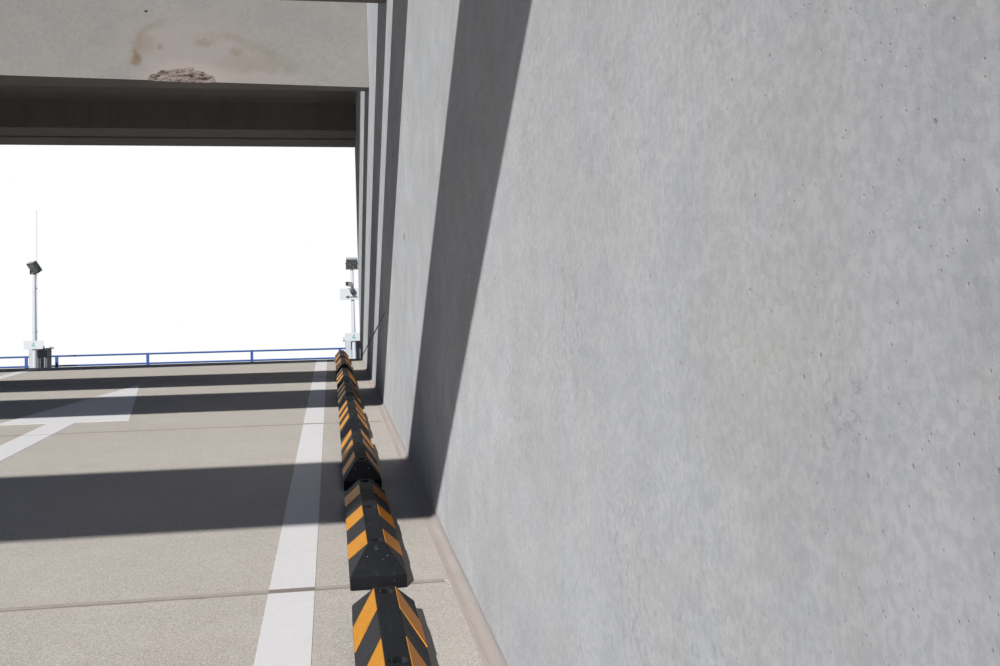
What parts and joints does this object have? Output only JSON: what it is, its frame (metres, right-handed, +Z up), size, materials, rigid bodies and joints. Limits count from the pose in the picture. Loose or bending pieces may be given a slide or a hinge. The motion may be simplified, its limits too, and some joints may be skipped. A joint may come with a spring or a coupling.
{
  "type": "roof ramp and deck bay of a multi storey car park",
  "caption": "Straight concrete ramp between two tall walls with cross beams above, rubber wheel stops along its foot, and the railed roof deck bay that it leads to.",
  "frame": {"origin": "on the ground, under the middle of the whole length and width", "axes": "+Z up, +Y uphill along the ramp, +X to the right when driving up"},
  "size_m": [12.9, 31.4862, 7.71],
  "materials": {
    "wall_concrete": "smooth pale formed concrete",
    "beam_concrete": "formed concrete with stains",
    "floor_coating": "sanded beige floor coating on concrete",
    "cove_mortar": "trowelled brownish mortar",
    "black_rubber": "matt moulded rubber with yellow strips",
    "blue_paint": "blue painted steel",
    "white_paint": "white powder coating",
    "dark_housing": "dark grey coating",
    "zinc": "galvanised steel"
  },
  "bodies": {
    "root": {"right_wall": "wall_concrete", "left_wall": "wall_concrete", "landing_slab": "floor_coating", "landing_beam": "beam_concrete", "ramp_panel_1": "floor_coating", "ramp_panel_2": "floor_coating", "ramp_panel_3": "floor_coating", "ramp_panel_4": "floor_coating", "right_cove": "cove_mortar", "left_cove": "cove_mortar", "right_wheel_stops": "black_rubber", "left_wheel_stops": "black_rubber", "cross_beam_1": "beam_concrete", "cross_beam_2": "beam_concrete", "cross_beam_3": "beam_concrete", "tapered_beam": "beam_concrete", "head_beam_front": "beam_concrete", "head_beam_back": "beam_concrete", "head_slab": "beam_concrete", "deck_slab_1": "floor_coating", "deck_slab_2": "floor_coating", "deck_slab_3": "floor_coating", "deck_beam_1": "beam_concrete", "deck_beam_2": "beam_concrete", "deck_beam_3": "beam_concrete", "deck_beam_4": "beam_concrete", "right_columns": "beam_concrete", "left_columns": "beam_concrete", "right_kerb": "beam_concrete", "left_kerb": "beam_concrete", "far_kerb": "beam_concrete", "front_kerbs": "beam_concrete", "far_railing": "blue_paint", "right_railing": "blue_paint", "left_railing": "blue_paint", "front_railings": "blue_paint", "left_mast": "white_paint", "right_mast": "white_paint", "left_floodlight": "dark_housing", "right_floodlight": "dark_housing", "lightning_rod": "zinc", "level_signs": "white_paint", "direction_sign": "white_paint", "bracket_camera": "white_paint", "dome_camera": "dark_housing", "left_cabinet": "dark_housing", "right_cabinet": "dark_housing", "cabinet_caps": "zinc"}
  },
  "joints": []
}
